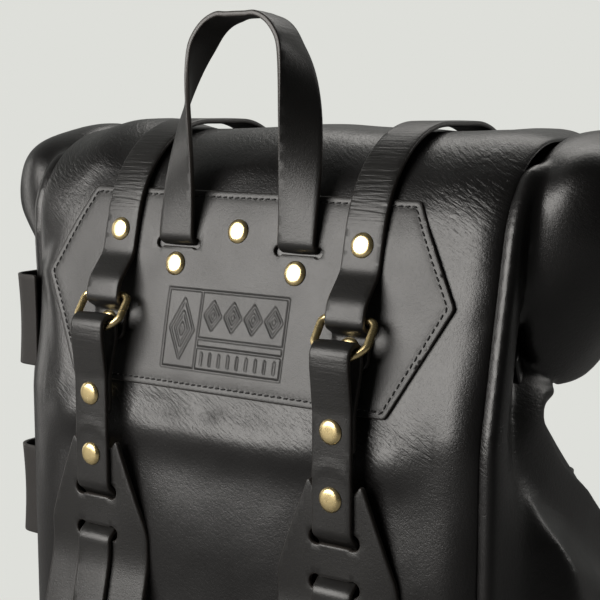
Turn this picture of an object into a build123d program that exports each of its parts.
"""Roll-top leather backpack, in millimetres.

+Z is up, the wearer's side faces -Y and the pocket side faces +Y. The origin is the
middle of the base on the surface that the bag stands on. Leather panels, straps and
hardware are separate solids, one named file for each sub-part.
"""
import os
from math import cos, hypot, radians, sin, sqrt, tan

from build123d import *

# ---- driving sizes ---------------------------------------------------------------------
BODY_WIDTH = 294.0          # between the side seams
BACK_FOOT_Y = -78.0         # back panel where it meets the base
BACK_BULGE_Y = -85.0        # back panel at its fullest
FRONT_Y = 75.0              # front panel
CROWN_HEIGHT = 434.0        # top of the rolled collar
BULGE_START = 75.0          # height at which the back starts to swell
BULGE_END = 150.0           # height at which it is full
FRONT_SHOULDER = 236.0 / 434.0 * CROWN_HEIGHT  # height at which the front slopes in to the roll

BODY_LEATHER = 2.0
BASE_LEATHER = 3.0
SEAM_FLANGE = 4.0           # raw seam allowance, turned outward
BOARD = 2.5                 # stiff board in the base
BOARD_GAP = 4.0             # between the board and the panels

PATCH_CENTRE_Y = -73.0      # outer face of the back patch at its centre
PATCH_CENTRE_Z = CROWN_HEIGHT - 79.0
BACK_LEAN = 13.0            # degrees that the upper back leans in
PATCH_LEATHER = 2.2
PATCH_HALF_TOP = BODY_WIDTH / 2 - 44.0
PATCH_HALF_POINT = BODY_WIDTH / 2 - 18.0
PATCH_HALF_BOTTOM = BODY_WIDTH / 2 - 48.0
PATCH_RISE = 50.0           # centre to top edge, along the panel
PATCH_DROP = 55.0           # centre to bottom edge, along the panel

CROWN_RADIUS = 60.0         # back panel as it turns over into the roll
ROLL_DEPTH = 124.0
ROLL_HEIGHT = 103.0
ROLL_BACK_Y = -49.0          # rear of the roll, clear of the rivets' inner caps
ROLL_CENTRE_Y = ROLL_BACK_Y + ROLL_DEPTH / 2
ROLL_LENGTH = BODY_WIDTH + 142.0  # ear to ear
EAR_DEPTH = 110.0
EAR_HEIGHT = 86.0
EAR_FORWARD = 7.0           # middle of the ear in front of the roll's middle
EAR_ROUND = 14.0
ROLL_WALL = 5.0             # the layers of the roll, taken together

STRAP_WIDTH = 22.0
STRAP = 2.8                 # strap leather
STRAP_X = 77.0 / 294.0 * BODY_WIDTH  # shoulder and closure straps, either side of the middle
RIVET_CAP = 12.5            # diameter
RIVET_CAP_RISE = 1.8
RIVET_BACK = 10.0
RIVET_BACK_RISE = 1.2
RIVET_POST = 3.6
POST_FIT = 0.1              # hole over post, each side

HANDLE_SLOT_X = 38.3
HANDLE_SLOT_RISE = 21.0     # patch centre to slot, along the panel
HANDLE_SLOT = (STRAP_WIDTH + 4.0, STRAP + 2.2)   # width, height
HANDLE_RIVET_RISE = 10.0
HANDLE_TOP = CROWN_HEIGHT + 60.0
HANDLE_FORWARD = 12.0       # apex in front of the slots
HANDLE_END_DROP = 8.0       # leather below the handle rivets
CENTRE_RIVET_RISE = 29.0

CLOSURE_RIVETS = (26.0, -24.5)   # along the panel from the patch centre
CLOSURE_END = -34.0
CLOSURE_HINGE_Z = CROWN_HEIGHT - 49.0
TAIL_GAP = 0.6
TAIL_KNEE_OUT = 3.3          # the tail's bend, out past the strap on the roll
TAIL_KNEE_Z = CROWN_HEIGHT - 134.0
TAIL_END_Z = FRONT_SHOULDER - 86.0

RING_WIRE = 4.0
RING_BAR_RISE = -10.0       # bar of the ring, along the panel
RING_BAR_STAND = STRAP + 3.2        # bar above the patch
RING_HALF = STRAP_WIDTH / 2 + 4.0  # middle of the wire, across
RING_LEG = 13.0
RING_BOW = RING_HALF + 3.0  # radius of the bow
RING_TILT = 35.0            # degrees from straight down, at rest
LOOP_PLAY = 0.6

RIVET_1_Z = PATCH_CENTRE_Z - 60.0
RIVET_2_Z = PATCH_CENTRE_Z - 93.0
LAYER_GAP = 0.2
SHORT_END_Z = RIVET_1_Z - 11.0

PAD_WIDTH = 69.0
PAD = 3.2
PAD_TOP_Z = RIVET_2_Z + 9.0
PAD_FULL_Z = PAD_TOP_Z - 49.0    # height at which the taper reaches full width
PAD_TIP_WIDTH = STRAP_WIDTH + 8.0
PAD_KNEE_Z = PAD_TOP_Z - 67.0
PAD_BOW_SHARE = 62.0 / 148.0     # bow's height between the pad's foot and its knee
PAD_END_Z = 56.0
PAD_BOW_Z = PAD_END_Z + PAD_BOW_SHARE * (PAD_KNEE_Z - PAD_END_Z)
PAD_UPPER_SLOPE = 20.4 / 86.0    # how far the pad leans out below its knee
PAD_LOWER_SLOPE = 6.0 / 62.0     # and below its bow
PAD_LOW_SLOT_SHARE = 26.0 / 62.0  # lowest slot, between the pad's foot and its bow
PAD_SLOTS_Z = (PAD_TOP_Z - 29.5, PAD_TOP_Z - 52.5,
               PAD_END_Z + PAD_LOW_SLOT_SHARE * (PAD_BOW_Z - PAD_END_Z))
PAD_SLOT = (STRAP_WIDTH + 4.0, 9.0)  # width, height
WEAVE_GAP = 0.25            # strap to pad
WEAVE_CLEAR = 2.55          # strap behind the pad to the back panel
PAD_Y = BACK_BULGE_Y - WEAVE_CLEAR - STRAP - PAD / 2 - WEAVE_GAP
HANGER_Y = PAD_Y - (STRAP + PAD) / 2 - LAYER_GAP  # middle of the strap at its rivets
PAD_BOW = (PAD_Y - PAD_UPPER_SLOPE * (PAD_KNEE_Z - PAD_BOW_Z), PAD_BOW_Z)
PAD_END = (PAD_BOW[0] - PAD_LOWER_SLOPE * (PAD_BOW_Z - PAD_END_Z), PAD_END_Z)

STUD_BASE = 10.0
STUD_NECK = 4.0
STUD_BALL = 7.0
STUD_HOLE = 8.4
STUD_CLEAR = 0.5            # strap to what the stud stands on
TAB = (STRAP_WIDTH + 4.0, 3.0)  # anchor tab, width and thickness
TAB_FOOT_Z = 12.0
TAB_TOP_Z = 58.0
ANCHOR_STUD_Z = 24.0
ANCHOR_RIVET_Z = 48.0

POCKET_WIDTH = BODY_WIDTH - 74.0
POCKET_DEPTH = 42.0
POCKET_FOOT_Z = 38.0
POCKET_ROUND = 12.0
FLAP_WIDTH = 2 * STRAP_X - STRAP_WIDTH - 14.0
FLAP_DROP = 56.0
FLAP_STAND = 3.6            # flap in front of the pocket
FLAP_LIFT = 3.0             # flap above the pocket's rim
FLAP_HINGE_GAP = 1.5        # hinge line in front of the front panel
POCKET_STUD_DROP = 38.0
CLOSURE_STUD_Z = FRONT_SHOULDER - 40.0

SLEEVE_DEPTH = 20.0         # how far the side sleeves stand out
SLEEVE_BACK_Y = -62.0
SLEEVE_FRONT_Y = -34.0
SLEEVE_HEIGHT = 53.0
SLEEVE_TOPS = (CROWN_HEIGHT - 84.5, 248.0 / 434.0 * CROWN_HEIGHT)
SLEEVE_DROPS = (0.36, 0.8)   # its rivets, as shares of its height
SLEEVE_TAIL = 15.0          # leather that lies on the gusset

BASE_TOP = BASE_LEATHER
HALF = BODY_WIDTH / 2
POCKET_TOP_Z = FRONT_SHOULDER
POCKET_FRONT_Y = FRONT_Y + POCKET_DEPTH
LEAN_SIN = sin(radians(BACK_LEAN))
LEAN_COS = cos(radians(BACK_LEAN))
SIDES = {"left": -1, "right": 1}


# ---- helpers ---------------------------------------------------------------------------
def save(name, shape):
    """Write one sub-part."""
    export_step(shape, f"parts/{name}.step")


def group(solids):
    """Separate solids that share one file."""
    return Compound(children=list(solids))


def on_patch(rise, stand=0.0):
    """(y, z) of a point up the patch from its centre and out from its face."""
    y = PATCH_CENTRE_Y + rise * LEAN_SIN - stand * LEAN_COS
    z = PATCH_CENTRE_Z + rise * LEAN_COS + stand * LEAN_SIN
    return (y, z)


def patch_plane(x, rise, stand=0.0):
    """Plane on the patch: its X across, its Y up the panel, its Z outward."""
    y, z = on_patch(rise, stand)
    return Plane(origin=(x, y, z), x_dir=(1, 0, 0), z_dir=(0, -LEAN_COS, LEAN_SIN))


def wall_plane(x, y, z, outward):
    """Upright plane whose normal is the given horizontal direction."""
    across = (1, 0, 0) if outward[1] else (0, 1, 0)
    return Plane(origin=(x, y, z), x_dir=across, z_dir=outward)


def shifted(points, radii, distance):
    """The corners and radii of a filleted line moved to its left."""
    count = len(points)
    way = []
    for a, b in zip(points, points[1:]):
        length = hypot(b[0] - a[0], b[1] - a[1])
        way.append(((b[0] - a[0]) / length, (b[1] - a[1]) / length))
    moved, new_radii = [], []
    for i, (px, py) in enumerate(points):
        before = way[max(i - 1, 0)]
        after = way[min(i, count - 2)]
        dot = before[0] * after[0] + before[1] * after[1]
        scale = distance / (1 + dot)
        moved.append((px - (before[1] + after[1]) * scale, py + (before[0] + after[0]) * scale))
        if 0 < i < count - 1:
            turn = before[0] * after[1] - before[1] * after[0]
            new_radii.append(radii[i - 1] - (distance if turn > 0 else -distance))
    return moved, new_radii


def band(points, radii, left, right):
    """Face between a filleted line's copies moved to its left and to its right."""
    left_points, left_radii = shifted(points, radii, left)
    right_points, right_radii = shifted(points, radii, -right)
    if radii:
        near = FilletPolyline(*left_points, radius=left_radii)
        far = FilletPolyline(*right_points, radius=right_radii)
    else:
        near = Polyline(*left_points)
        far = Polyline(*right_points)
    ends = [Line(near @ 0, far @ 0), Line(near @ 1, far @ 1)]
    return make_face(near.edges() + far.edges() + ends)


def across(face, middle_x, width):
    """Extrude a (y, z) face along X about a middle."""
    return extrude(Plane.YZ.offset(middle_x - width / 2) * face, width)


def strap_solid(points, radii, middle_x, width=STRAP_WIDTH, thick=STRAP):
    """A flat strap whose middle follows a filleted (y, z) line."""
    return across(band(points, radii, thick / 2, thick / 2), middle_x, width)


def post_hole(plane, radius=RIVET_POST / 2 + POST_FIT, depth=30.0):
    """Cutter for a post, both ways along the plane's normal."""
    return plane * Cylinder(radius, depth)


def rivet(plane, grip):
    """Domed cap on the plane, a post through the grip, and a flat cap behind it."""
    cap = Cylinder(RIVET_CAP / 2, RIVET_CAP_RISE, align=(Align.CENTER, Align.CENTER, Align.MIN))
    cap = fillet(cap.edges().group_by(Axis.Z)[-1], RIVET_CAP_RISE * 0.7)
    post = Cylinder(RIVET_POST / 2, grip, align=(Align.CENTER, Align.CENTER, Align.MAX))
    back = Pos(0, 0, -grip) * Cylinder(
        RIVET_BACK / 2, RIVET_BACK_RISE, align=(Align.CENTER, Align.CENTER, Align.MAX))
    return plane * (cap + post + back)


def stud(plane, neck):
    """Collar stud: flat base, neck as long as the strap needs, round head."""
    base = Cylinder(STUD_BASE / 2, STUD_CLEAR * 0.6, align=(Align.CENTER, Align.CENTER, Align.MIN))
    stem = Cylinder(STUD_NECK / 2, neck + STUD_BALL / 2, align=(Align.CENTER, Align.CENTER, Align.MIN))
    head = Pos(0, 0, neck + STUD_BALL / 2) * Sphere(STUD_BALL / 2)
    return plane * (base + stem + head)


# ---- the bag's outline in side view ----------------------------------------------------
kink_rise = (BACK_BULGE_Y - PATCH_CENTRE_Y - PATCH_LEATHER * LEAN_COS) / LEAN_SIN
corner_rise = (CROWN_HEIGHT - PATCH_CENTRE_Z + PATCH_LEATHER * LEAN_SIN) / LEAN_COS
corner = on_patch(corner_rise, -PATCH_LEATHER)
crown_reach = CROWN_RADIUS * tan(radians((90 - BACK_LEAN) / 2))
BACK_LINE = [
    (BACK_FOOT_Y, BASE_TOP),
    (BACK_FOOT_Y, BULGE_START),
    (BACK_BULGE_Y, BULGE_END),
    on_patch(kink_rise, -PATCH_LEATHER),
    corner,
    (corner[0] + crown_reach + 4.0, CROWN_HEIGHT),
]
BACK_RADII = [160.0, 160.0, 60.0, CROWN_RADIUS]

ROLL_CENTRE_Z = CROWN_HEIGHT - BODY_LEATHER - ROLL_HEIGHT / 2
FRONT_LINE = [
    (FRONT_Y, BASE_TOP),
    (FRONT_Y, FRONT_SHOULDER),
    (ROLL_CENTRE_Y - ROLL_DEPTH * 0.27, ROLL_CENTRE_Z - ROLL_HEIGHT * 0.3),
]
FRONT_RADII = [50.0]
SKIN_GAP = 0.3
EAR_START = HALF - SKIN_GAP


def roll_face(grow=0.0):
    """Section of the rolled collar."""
    return Pos(ROLL_CENTRE_Y, ROLL_CENTRE_Z) * Ellipse(ROLL_DEPTH / 2 + grow, ROLL_HEIGHT / 2 + grow)


def ear_face(grow=0.0):
    """Section of the ears, where the collar stands out past the body."""
    high = CROWN_HEIGHT - BODY_LEATHER - EAR_HEIGHT / 2
    centre = Pos(ROLL_CENTRE_Y + EAR_FORWARD, high)
    return centre * Ellipse(EAR_DEPTH / 2 + grow, EAR_HEIGHT / 2 + grow)


def inside_back(gap):
    """Everything on the bag's side of the back panel's inner face."""
    inner, radii = shifted(BACK_LINE, BACK_RADII, -(BODY_LEATHER + gap))
    line = FilletPolyline(*inner, radius=radii)
    far_y = ROLL_CENTRE_Y + ROLL_DEPTH
    rest = Polyline(line @ 1, (far_y, (line @ 1).Y), (far_y, (line @ 0).Y), line @ 0)
    return make_face(line.edges() + rest.edges())


def panel(line, radii, outward, cutters):
    """A wide panel with a raw flange standing out at each side seam."""
    left, right = (0, BODY_LEATHER) if outward > 0 else (BODY_LEATHER, 0)
    skin = across(band(line, radii, left, right), 0, BODY_WIDTH)
    reach = (SEAM_FLANGE, 0) if outward > 0 else (0, SEAM_FLANGE)
    lip = band(line, radii, *reach)
    for side in SIDES.values():
        skin += across(lip, side * (HALF - BODY_LEATHER / 2), BODY_LEATHER)
    for cutter in cutters:
        skin -= cutter
    return skin


def make_gusset(side):
    """Side panel with its own flanges beside those of the back and front."""
    back, back_radii = shifted(BACK_LINE, BACK_RADII, SEAM_FLANGE)
    front, front_radii = shifted(FRONT_LINE, FRONT_RADII, -SEAM_FLANGE)
    back_edge = FilletPolyline(*back, radius=back_radii)
    front_edge = FilletPolyline(*front, radius=front_radii)
    foot = Line(back_edge @ 0, front_edge @ 0)
    top = Polyline(back_edge @ 1, ((back_edge @ 1).X, ROLL_CENTRE_Z), front_edge @ 1)
    outline = make_face(back_edge.edges() + top.edges() + front_edge.edges() + foot.edges())
    outline -= ear_face(SKIN_GAP)
    plate = across(outline, side * (HALF + BODY_LEATHER / 2), BODY_LEATHER)
    return max(plate.solids(), key=lambda s: s.volume)


def make_collar():
    """The rolled top: clipped under the back panel, smaller at the ears, hollow."""
    roll = across(roll_face() & inside_back(SKIN_GAP), 0, 2 * EAR_START)
    air = across(roll_face(-ROLL_WALL) & inside_back(SKIN_GAP + ROLL_WALL), 0, 2 * EAR_START)
    ear = ROLL_LENGTH / 2 - EAR_START
    for side in SIDES.values():
        end = across(ear_face(), side * (EAR_START + ear / 2), ear)
        rim = end.edges().sort_by(Axis.X)[-1 if side > 0 else 0]
        roll += fillet(rim, EAR_ROUND)
        room = ear - ROLL_WALL
        hollow = across(ear_face(-ROLL_WALL), side * (EAR_START + room / 2), room)
        rim = hollow.edges().sort_by(Axis.X)[-1 if side > 0 else 0]
        air += fillet(rim, EAR_ROUND - ROLL_WALL)
    return roll - air


# ---- hardware places -------------------------------------------------------------------
SKINS = PATCH_LEATHER + BODY_LEATHER
closure_planes = {
    name: [patch_plane(side * STRAP_X, rise, STRAP) for rise in CLOSURE_RIVETS]
    for name, side in SIDES.items()
}
handle_planes = [patch_plane(s * HANDLE_SLOT_X, HANDLE_RIVET_RISE) for s in SIDES.values()]
centre_plane = patch_plane(0, CENTRE_RIVET_RISE)
slot_cutters = [
    patch_plane(s * HANDLE_SLOT_X, HANDLE_SLOT_RISE) * Box(*HANDLE_SLOT, 4 * SKINS)
    for s in SIDES.values()
]
patch_posts = [post_hole(p) for planes in closure_planes.values() for p in planes]
patch_posts += [post_hole(p) for p in handle_planes + [centre_plane]]


# ---- bag body --------------------------------------------------------------------------
def make_body():
    """Panels, base, collar and the parts sewn or riveted to them for good."""
    anchor_posts = [
        post_hole(wall_plane(s * STRAP_X, BACK_FOOT_Y, z, (0, -1, 0)), depth=16)
        for s in SIDES.values() for z in (ANCHOR_RIVET_Z,)
    ]
    save("back_panel", panel(BACK_LINE, BACK_RADII, 1, patch_posts + slot_cutters + anchor_posts))
    roll_room = across(roll_face(SKIN_GAP), 0, BODY_WIDTH + 1)
    front = panel(FRONT_LINE, FRONT_RADII, -1, [roll_room])
    save("front_panel", max(front.solids(), key=lambda s: s.volume))
    sleeve_posts = [post_hole(plane, depth=16) for plane in sleeve_rivet_planes()]
    for name, side in SIDES.items():
        gusset = make_gusset(side)
        if side < 0:
            for cutter in sleeve_posts:
                gusset -= cutter
        save(f"gusset_{name}", gusset)
    save("rolled_collar", make_collar())
    depth = FRONT_Y - BACK_FOOT_Y
    middle_y = (FRONT_Y + BACK_FOOT_Y) / 2
    low = (Align.CENTER, Align.CENTER, Align.MIN)
    base = Box(BODY_WIDTH + 2 * BODY_LEATHER, depth, BASE_LEATHER, align=low)
    save("base_panel", Pos(0, middle_y, 0) * base)
    inset = 2 * (BODY_LEATHER + BOARD_GAP)
    board = Box(BODY_WIDTH - inset, depth - inset, BOARD, align=low)
    save("base_board", Pos(0, middle_y, BASE_TOP) * board)


def make_patch():
    """Hexagonal patch that carries the handle and the straps."""
    outline = Polyline(
        (-PATCH_HALF_TOP, PATCH_RISE), (-PATCH_HALF_POINT, 0),
        (-PATCH_HALF_BOTTOM, -PATCH_DROP), (PATCH_HALF_BOTTOM, -PATCH_DROP),
        (PATCH_HALF_POINT, 0), (PATCH_HALF_TOP, PATCH_RISE), close=True)
    prism = extrude(patch_plane(0, 0) * make_face(outline.edges()), 6 * PATCH_LEATHER, both=True)
    sheet = across(band(BACK_LINE, BACK_RADII, PATCH_LEATHER, 0), 0, 2 * PATCH_HALF_POINT + 2)
    patch = sheet & prism
    for cutter in patch_posts + slot_cutters:
        patch -= cutter
    save("back_patch", patch)


# ---- handle ----------------------------------------------------------------------------
def handle_section(turn):
    """Cross-section of the handle, turn degrees round from one slot to the other."""
    foot_y, foot_z = on_patch(HANDLE_SLOT_RISE + 2.0, STRAP / 2 + SKIN_GAP + 0.4)
    t = radians(turn)
    squared = 0.62                         # below 1 squares the arch's shoulders
    wide = (1 if cos(t) >= 0 else -1) * abs(cos(t)) ** squared
    high = abs(sin(t)) ** squared
    x = HANDLE_SLOT_X * wide
    z = foot_z + (HANDLE_TOP - foot_z - STRAP / 2) * high
    y = foot_y + HANDLE_FORWARD * high
    return Vector(x, y, z)


def make_handle():
    """Arched strap that twists a quarter turn in each leg, its ends fixed inside."""
    turns = [180 * i / 24 for i in range(25)]
    sections = []
    for turn in turns:
        here = handle_section(turn)
        ahead = handle_section(min(turn + 1.5, 180)) - handle_section(max(turn - 1.5, 0))
        if turn in (0, 180):
            ahead = Vector(0, 0.12, 1) if turn == 0 else Vector(0, -0.12, -1)
        ahead = ahead.normalized()
        twist = 90 * min(1.0, sin(radians(turn)) * 1.25)
        x_dir = Vector(1, 0, 0) if turn < 90 else Vector(-1, 0, 0)
        flat = x_dir - ahead * x_dir.dot(ahead)
        if flat.length < 0.2:
            flat = Vector(0, 0, 1) - ahead * ahead.Z
        wide = flat.normalized().rotate(Axis((0, 0, 0), tuple(ahead)), twist)
        if turn == 90:
            wide = Vector(0, 1, 0)
        sections.append(Plane(origin=here, x_dir=wide, z_dir=ahead) * Rectangle(STRAP_WIDTH, STRAP))
    save("carry_handle", loft(sections, ruled=True))
    ends, rivets = [], []
    drop = HANDLE_SLOT_RISE - HANDLE_RIVET_RISE + HANDLE_END_DROP
    for side, plane in zip(SIDES.values(), handle_planes):
        slot = patch_plane(side * HANDLE_SLOT_X, HANDLE_SLOT_RISE + STRAP / 2)
        top = (Align.CENTER, Align.MAX, Align.MAX)
        end = Pos(0, 0, -SKINS) * Box(STRAP_WIDTH, drop + STRAP, STRAP, align=top)
        end += Pos(0, 0, -STUD_CLEAR) * Box(STRAP_WIDTH, STRAP, SKINS + STRAP - STUD_CLEAR, align=top)
        ends.append(slot * end - post_hole(plane))
        rivets.append(rivet(plane, SKINS + STRAP))
    save("handle_ends", group(ends))
    save("handle_rivets", group(rivets))
    save("centre_rivet", rivet(centre_plane, SKINS))


# ---- closure straps, rings -------------------------------------------------------------
POCKET_STRAP_Y = POCKET_FRONT_Y + STUD_CLEAR + STRAP / 2
ROLL_STRAP_Y = ROLL_CENTRE_Y + ROLL_DEPTH / 2 + SKIN_GAP + STRAP / 2


def make_closure(name, side):
    """Strap over the roll: riveted on the patch, hinged at the roll's front."""
    x = side * STRAP_X
    lie = STRAP / 2
    over = RING_BAR_STAND + RING_WIRE / 2 + LOOP_PLAY + lie
    top = CROWN_HEIGHT + PATCH_LEATHER + lie
    corner_y = on_patch((top - PATCH_CENTRE_Z - lie * LEAN_SIN) / LEAN_COS, lie)[0]
    line = [
        on_patch(CLOSURE_END, lie),
        on_patch(RING_BAR_RISE - 6.3, lie),
        on_patch(RING_BAR_RISE - 4.0, over),
        on_patch(RING_BAR_RISE + 7.0, over),
        on_patch(RING_BAR_RISE + 23.0, lie),
        (corner_y, top),
        (ROLL_STRAP_Y, top),
        (ROLL_STRAP_Y, CLOSURE_HINGE_Z),
    ]
    radii = [1.9, 3.6, 14.0, 14.0, CROWN_RADIUS + PATCH_LEATHER + lie, ROLL_HEIGHT / 2]
    strap = strap_solid(line, radii, x)
    for plane in closure_planes[name]:
        strap -= post_hole(plane)
    save(f"closure_strap_{name}", strap)
    rivets = [rivet(plane, SKINS + STRAP) for plane in closure_planes[name]]
    save(f"closure_rivets_{name}", group(rivets))
    tail_line = [
        (ROLL_STRAP_Y, CLOSURE_HINGE_Z - TAIL_GAP),
        (ROLL_STRAP_Y + TAIL_KNEE_OUT, TAIL_KNEE_Z),
        (POCKET_STRAP_Y, POCKET_TOP_Z + 5.0),
        (POCKET_STRAP_Y, TAIL_END_Z),
    ]
    tail = strap_solid(tail_line, [60.0, 14.0], x)
    for step in (-1, 0, 1):
        place = wall_plane(x, POCKET_STRAP_Y, CLOSURE_STUD_Z + step * STRAP_WIDTH, (0, 1, 0))
        radius = STUD_HOLE / 2 if step == 0 else STUD_NECK / 2
        tail -= place * Cylinder(radius, 4 * STRAP)
    save(f"closure_tail_{name}", tail)


def make_ring(name, side):
    """D-ring: straight bar under the closure strap, round bow below it."""
    sag = RING_BOW - sqrt(RING_BOW ** 2 - RING_HALF ** 2)
    with BuildLine() as outline:
        Polyline((-RING_HALF, -RING_LEG), (-RING_HALF, 0), (RING_HALF, 0), (RING_HALF, -RING_LEG))
        ThreePointArc((RING_HALF, -RING_LEG), (0, -RING_LEG - sag), (-RING_HALF, -RING_LEG))
    wire = outline.wires()[0]
    wire = wire.fillet_2d(RING_WIRE * 0.9, wire.vertices())
    y, z = on_patch(RING_BAR_RISE, RING_BAR_STAND)
    tilt = radians(RING_TILT)
    down = Plane(origin=(side * STRAP_X, y, z), x_dir=(1, 0, 0), z_dir=(0, -cos(tilt), sin(tilt)))
    path = down * wire
    start = Plane(origin=path @ 0, z_dir=path % 0)
    save(f"d_ring_{name}", sweep(start * Circle(RING_WIRE / 2), path))


def on_segment(a, b, z, stand):
    """(y, z) on the line from a to b at a height, moved level by a stand."""
    share = (z - a[1]) / (b[1] - a[1])
    return (a[0] + (b[0] - a[0]) * share + stand, z)


def loop_centre():
    """(y, z) of the shoulder strap's pivot, midway in the bow's sag under the strap."""
    sag = RING_BOW - sqrt(RING_BOW ** 2 - RING_HALF ** 2)
    strap_sag = RING_BOW - sqrt(RING_BOW ** 2 - (STRAP_WIDTH / 2) ** 2)
    y, z = on_patch(RING_BAR_RISE, RING_BAR_STAND)
    reach = RING_LEG + sag - strap_sag / 2
    tilt = radians(RING_TILT)
    return y - reach * sin(tilt), z - reach * cos(tilt), strap_sag / 2


# ---- shoulder straps -------------------------------------------------------------------
def make_shoulder(name, side):
    """Strap looped round the ring and woven through its pad, down to the stud."""
    x = side * STRAP_X
    loop_y, loop_z, wander = loop_centre()
    wrap = wander + RING_WIRE / 2 + LOOP_PLAY + STRAP / 2
    back_y = HANGER_Y + STRAP + LAYER_GAP
    pad_y = PAD_Y
    weave = (STRAP + PAD) / 2 + WEAVE_GAP
    low_y = BACK_FOOT_Y - TAB[1] - STUD_CLEAR - STRAP / 2
    first, second, third = PAD_SLOTS_Z
    step = 2.6
    pad_line = [(pad_y, PAD_TOP_Z), (pad_y, PAD_KNEE_Z), PAD_BOW, PAD_END]
    pad_radii = [60.0, 80.0]
    outer, outer_radii = shifted(pad_line, pad_radii, -weave)
    line = [
        (back_y, SHORT_END_Z), (back_y, RIVET_1_Z + 9.0),
        (loop_y + wrap, loop_z - wrap), (loop_y + wrap, loop_z + wrap),
        (loop_y - wrap, loop_z + wrap), (loop_y - wrap, loop_z - wrap),
        (HANGER_Y, RIVET_1_Z + 9.0),
        (HANGER_Y, first + step),
        (pad_y + weave, first - step), (pad_y + weave, second + step),
        (pad_y - weave, second - step), outer[1], outer[2],
        on_segment(PAD_BOW, PAD_END, third + step, -weave),
        on_segment(PAD_BOW, PAD_END, third - step, weave),
        on_segment(PAD_BOW, PAD_END, PAD_END[1] + 6.0, weave + 0.2),
        (low_y, ANCHOR_STUD_Z + 14.0), (low_y, TAB_FOOT_Z),
    ]
    radii = [6.0, 6.0, wrap - 0.01, wrap - 0.01, 6.0, 6.0] + [2.0] * 4
    radii += outer_radii + [2.0, 2.0, 7.0, 7.0]
    strap = strap_solid(line, radii, x)
    pad = strap_solid(pad_line, pad_radii, x, PAD_WIDTH, PAD)
    deep = 60.0
    corner_cut = Polyline(
        (PAD_TIP_WIDTH / 2, PAD_TOP_Z + 1), (PAD_WIDTH / 2 + 1, PAD_TOP_Z + 1),
        (PAD_WIDTH / 2 + 1, PAD_FULL_Z), (PAD_WIDTH / 2, PAD_FULL_Z), close=True)
    for hand in (1, -1):
        cutter = extrude(Plane.XZ * make_face(corner_cut.edges()), deep, both=True)
        if hand < 0:
            cutter = mirror(cutter, Plane.YZ)
        pad -= Pos(x, pad_y, 0) * cutter
    slot_y = (pad_y, pad_y, on_segment(PAD_BOW, PAD_END, third, 0)[0])
    for y, z in zip(slot_y, PAD_SLOTS_Z):
        pad -= Pos(x, y, z) * Box(PAD_SLOT[0], 6 * PAD, PAD_SLOT[1])
    upper = wall_plane(x, HANGER_Y - STRAP / 2, RIVET_1_Z, (0, -1, 0))
    lower = wall_plane(x, HANGER_Y - STRAP / 2, RIVET_2_Z, (0, -1, 0))
    rivets = [rivet(upper, 2 * STRAP + LAYER_GAP), rivet(lower, STRAP + PAD + LAYER_GAP)]
    for plane in (upper, lower):
        strap -= post_hole(plane)
        pad -= post_hole(plane)
    strap -= wall_plane(x, low_y, ANCHOR_STUD_Z, (0, -1, 0)) * Cylinder(STUD_HOLE / 2, 3 * STRAP)
    save(f"shoulder_strap_{name}", strap)
    save(f"shoulder_pad_{name}", pad)
    save(f"hanger_rivets_{name}", group(rivets))
    tab_y = BACK_FOOT_Y - TAB[1] / 2
    tab_height = TAB_TOP_Z - TAB_FOOT_Z
    tab = Pos(x, tab_y, TAB_FOOT_Z + tab_height / 2) * Box(TAB[0], TAB[1], tab_height)
    anchor = wall_plane(x, BACK_FOOT_Y - TAB[1], ANCHOR_RIVET_Z, (0, -1, 0))
    save(f"anchor_tab_{name}", tab - post_hole(anchor, depth=16))
    peg = stud(wall_plane(x, BACK_FOOT_Y - TAB[1], ANCHOR_STUD_Z, (0, -1, 0)), STRAP + 2 * STUD_CLEAR)
    return rivet(anchor, TAB[1] + BODY_LEATHER), peg


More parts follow.
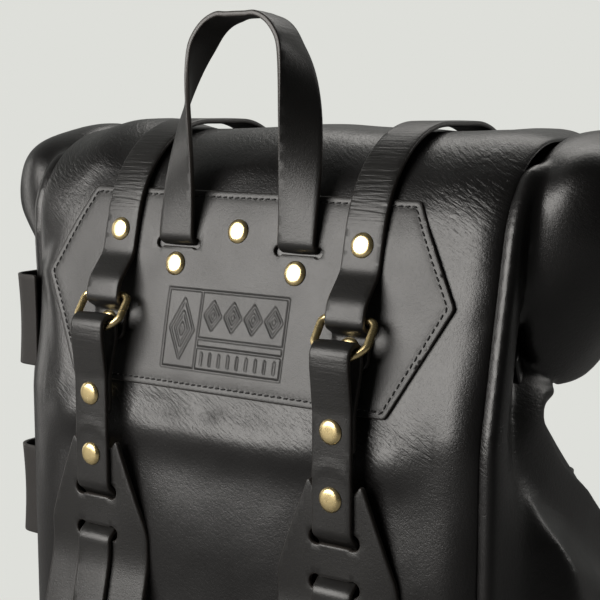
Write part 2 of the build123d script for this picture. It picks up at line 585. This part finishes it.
# ---- pocket, studs, sleeves ------------------------------------------------------------
def make_pocket():
    """Box pocket on the front, its flap, and the press stud between them."""
    height = POCKET_TOP_Z - POCKET_FOOT_Z
    near = (Align.CENTER, Align.MIN, Align.MIN)
    shell = Pos(0, FRONT_Y, POCKET_FOOT_Z) * Box(POCKET_WIDTH, POCKET_DEPTH, height, align=near)
    shell = fillet(shell.edges().filter_by(Axis.Z).group_by(Axis.Y)[-1], POCKET_ROUND)
    inner = (POCKET_WIDTH - 2 * BODY_LEATHER, POCKET_DEPTH - BODY_LEATHER, height)
    room = Pos(0, FRONT_Y, POCKET_FOOT_Z + BODY_LEATHER) * Box(*inner, align=near)
    room = fillet(room.edges().filter_by(Axis.Z).group_by(Axis.Y)[-1], POCKET_ROUND - BODY_LEATHER)
    save("front_pocket", shell - room)
    flap_y = POCKET_FRONT_Y + FLAP_STAND
    top = POCKET_TOP_Z + FLAP_LIFT
    line = [(FRONT_Y + FLAP_HINGE_GAP, top), (flap_y, top), (flap_y, top - FLAP_DROP)]
    flap = across(band(line, [6.0], BODY_LEATHER / 2, BODY_LEATHER / 2), 0, FLAP_WIDTH)
    stud_z = POCKET_TOP_Z - POCKET_STUD_DROP
    out = (0, 1, 0)
    socket_plane = wall_plane(0, flap_y + BODY_LEATHER / 2, stud_z, out)
    save("pocket_flap", flap - post_hole(socket_plane, depth=8))
    low = (Align.CENTER, Align.CENTER, Align.MIN)
    cap = Cylinder(RIVET_CAP / 2, RIVET_CAP_RISE, align=low)
    cap = fillet(cap.edges().group_by(Axis.Z)[-1], RIVET_CAP_RISE * 0.7)
    pin = Pos(0, 0, -BODY_LEATHER) * Cylinder(RIVET_POST / 2, BODY_LEATHER, align=low)
    socket = Pos(0, 0, -BODY_LEATHER - 1.2) * Cylinder(RIVET_BACK / 2, 1.2, align=low)
    save("pocket_stud_cap", socket_plane * (cap + pin + socket))
    post_plane = wall_plane(0, POCKET_FRONT_Y, stud_z, out)
    save("pocket_stud_post", post_plane * Cylinder(RIVET_BACK / 2, 1.0, align=low))
    pegs = [
        stud(wall_plane(side * STRAP_X, POCKET_FRONT_Y, CLOSURE_STUD_Z, out), STRAP + 2 * STUD_CLEAR)
        for side in SIDES.values()
    ]
    save("closure_studs", group(pegs))


def sleeve_rivet_planes():
    """Two rivets at the front end of each side sleeve."""
    x = -(HALF + 2 * BODY_LEATHER)
    planes = []
    for top in SLEEVE_TOPS:
        for drop in SLEEVE_DROPS:
            place = (x, SLEEVE_FRONT_Y + SLEEVE_TAIL / 2 + 2, top - drop * SLEEVE_HEIGHT)
            planes.append(wall_plane(*place, (-1, 0, 0)))
    return planes


def make_sleeves():
    """Two open leather sleeves, one above the other, on the left side."""
    wall = -(HALF + BODY_LEATHER)
    lie = wall - BODY_LEATHER / 2
    out = wall - SLEEVE_DEPTH + BODY_LEATHER / 2
    line = [
        (wall, SLEEVE_BACK_Y), (out, SLEEVE_BACK_Y + 1), (out, SLEEVE_FRONT_Y - 2),
        (lie, SLEEVE_FRONT_Y), (lie, SLEEVE_FRONT_Y + SLEEVE_TAIL),
    ]
    face = band(line, [9.0, 9.0, 3.0], BODY_LEATHER / 2, BODY_LEATHER / 2)
    names = ("side_sleeve_upper", "side_sleeve_lower")
    for name, top in zip(names, SLEEVE_TOPS):
        sleeve = extrude(Plane.XY.offset(top - SLEEVE_HEIGHT) * face, SLEEVE_HEIGHT)
        room = Pos(wall, 0, top) * Box(10, 600, 600, align=(Align.MIN, Align.CENTER, Align.CENTER))
        sleeve -= room
        for plane in sleeve_rivet_planes():
            sleeve -= post_hole(plane, depth=16)
        save(name, sleeve)
    rivets = [rivet(plane, 2 * BODY_LEATHER) for plane in sleeve_rivet_planes()]
    save("sleeve_rivets", group(rivets))


def main():
    """Build every sub-part."""
    os.makedirs("parts", exist_ok=True)
    make_body()
    make_patch()
    make_handle()
    make_pocket()
    make_sleeves()
    anchor_rivets, anchor_studs = [], []
    for name, side in SIDES.items():
        make_closure(name, side)
        make_ring(name, side)
        pin, peg = make_shoulder(name, side)
        anchor_rivets.append(pin)
        anchor_studs.append(peg)
    save("anchor_rivets", group(anchor_rivets))
    save("anchor_studs", group(anchor_studs))


main()
